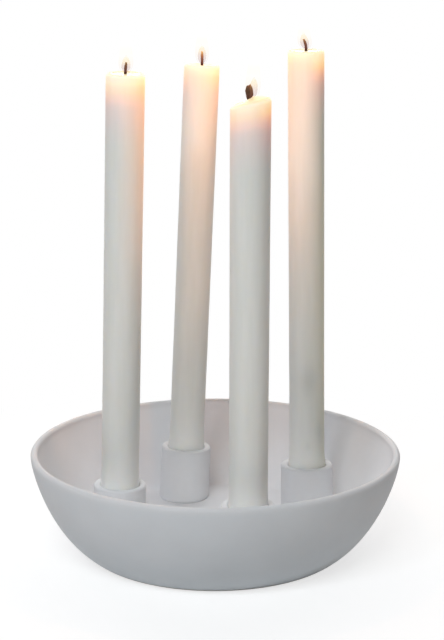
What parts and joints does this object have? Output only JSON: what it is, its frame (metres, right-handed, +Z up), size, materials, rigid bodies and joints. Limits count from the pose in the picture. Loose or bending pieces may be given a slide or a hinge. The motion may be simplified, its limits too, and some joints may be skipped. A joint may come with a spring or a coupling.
{
  "type": "advent candle holder",
  "caption": "Round matte white ceramic bowl with candle cups set on its floor, each holding a lit white dinner candle that lifts out of its cup.",
  "frame": {"origin": "on the table under the middle of the bowl, at the foot ring's standing face", "axes": "+Z up along the bowl's axis; the cups stand on the diagonals between X and Y; -Y is the front"},
  "size_m": [0.2244, 0.2244, 0.306],
  "materials": {
    "matte_ceramic": "matte white, fine grained, unglazed look",
    "wax": "smooth, slightly translucent white wax with a soft sheen",
    "charred_cotton": "braided cotton, charred brown-black at the burned end"
  },
  "bodies": {
    "bowl_with_cups": {"bowl": "matte_ceramic", "cup_front_left": "matte_ceramic", "cup_front_right": "matte_ceramic", "cup_back_right": "matte_ceramic", "cup_back_left": "matte_ceramic"},
    "candle_front_left": {"candle_front_left": "wax", "wick_front_left": "charred_cotton"},
    "candle_front_right": {"candle_front_right": "wax", "wick_front_right": "charred_cotton"},
    "candle_back_right": {"candle_back_right": "wax", "wick_back_right": "charred_cotton"},
    "candle_back_left": {"candle_back_left": "wax", "wick_back_left": "charred_cotton"}
  },
  "joints": [
    {"name": "candle_front_left_lift", "type": "slide", "parent": "bowl_with_cups", "child": "candle_front_left", "axis": [0.0284, 0.005, 0.9996], "range_m": [0, 0.05]},
    {"name": "candle_front_right_lift", "type": "slide", "parent": "bowl_with_cups", "child": "candle_front_right", "axis": [0.0095, -0.0146, 0.9998], "range_m": [0, 0.05]},
    {"name": "candle_back_right_lift", "type": "slide", "parent": "bowl_with_cups", "child": "candle_back_right", "axis": [-0.0182, 0.0062, 0.9998], "range_m": [0, 0.05]},
    {"name": "candle_back_left_lift", "type": "slide", "parent": "bowl_with_cups", "child": "candle_back_left", "axis": [0.0393, 0.0209, 0.999], "range_m": [0, 0.05]}
  ]
}
